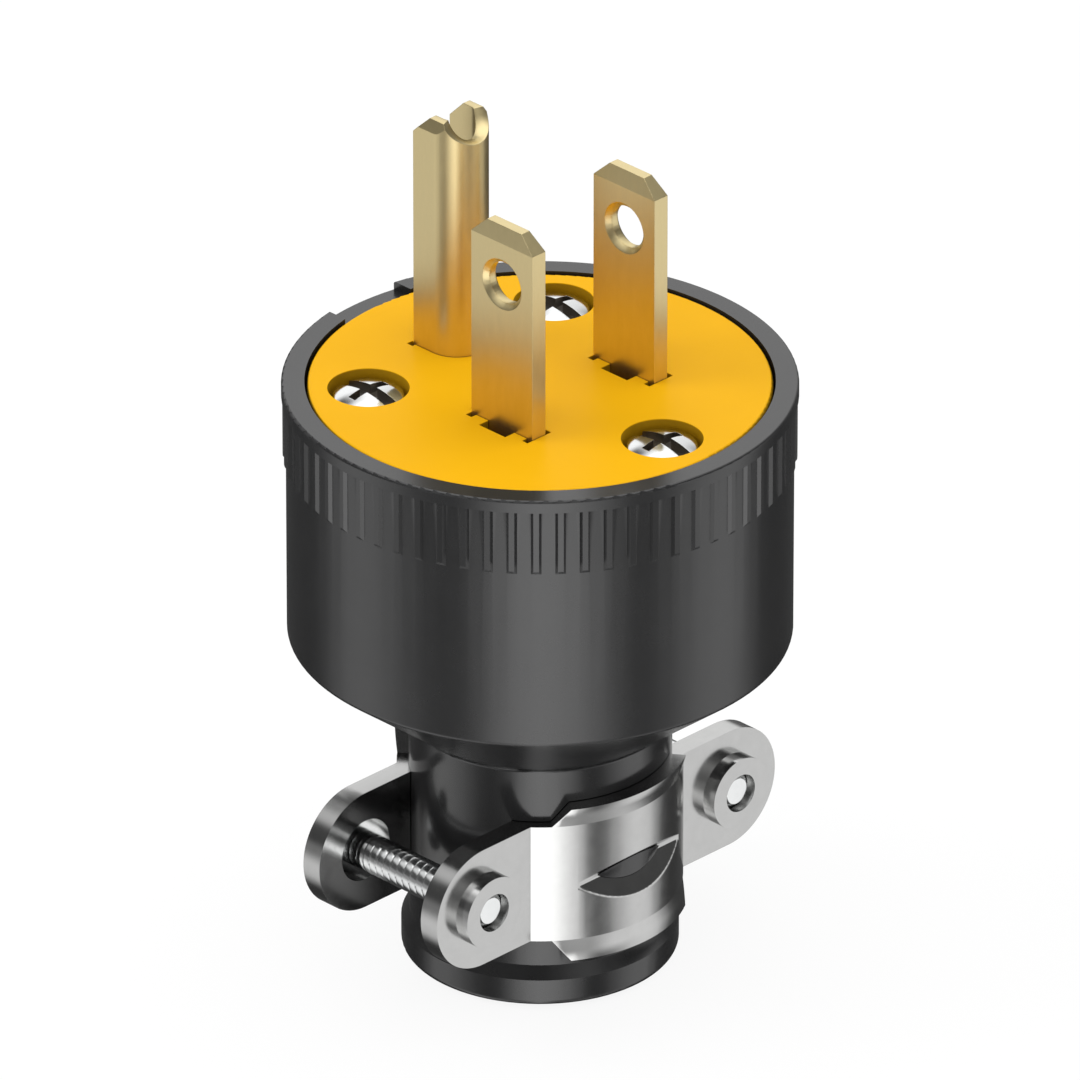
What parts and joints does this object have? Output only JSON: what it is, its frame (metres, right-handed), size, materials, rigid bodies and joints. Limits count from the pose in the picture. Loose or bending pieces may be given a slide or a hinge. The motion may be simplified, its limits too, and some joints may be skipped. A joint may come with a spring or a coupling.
{
  "type": "rubber power plug",
  "caption": "Round rubber-bodied mains plug with flat blades, a folded ground pin, a screwed yellow face and a two-saddle cord clamp on its neck.",
  "frame": {"origin": "middle of the foot ring's lower face, on the plug's axis", "axes": "+Z along the plug's axis from the cord end to the blade tips, +X from the neutral blade to the line blade, +Y from the flat blades to the ground pin"},
  "size_m": [0.0383, 0.0382, 0.0663],
  "materials": {
    "black_rubber": "satin moulded rubber with a fine even grain",
    "yellow_cover": "satin yellow moulded plastic",
    "grey_carrier": "matte grey moulded plastic",
    "brass": "bright rolled brass with a light brushed grain",
    "plated_steel": "zinc plated, smooth, with a soft gloss",
    "plated_screw": "bright plated steel",
    "green_screw": "green tinted screw head for the earth wire"
  },
  "bodies": {
    "root": {"rubber_shell": "black_rubber", "face_cover": "yellow_cover", "terminal_carrier": "grey_carrier", "line_blade": "brass", "neutral_blade": "brass", "ground_pin": "brass", "line_pressure_plate": "brass", "neutral_pressure_plate": "brass", "ground_pressure_plate": "brass", "line_terminal_screw": "brass", "neutral_terminal_screw": "plated_screw", "ground_terminal_screw": "green_screw", "face_screw_front": "plated_screw", "face_screw_right": "plated_screw", "face_screw_left": "plated_screw", "insert_front": "brass", "insert_right": "brass", "insert_left": "brass", "front_saddle": "plated_steel", "rear_saddle": "plated_steel", "clamp_screw_left": "plated_screw", "clamp_screw_right": "plated_screw"}
  },
  "joints": []
}
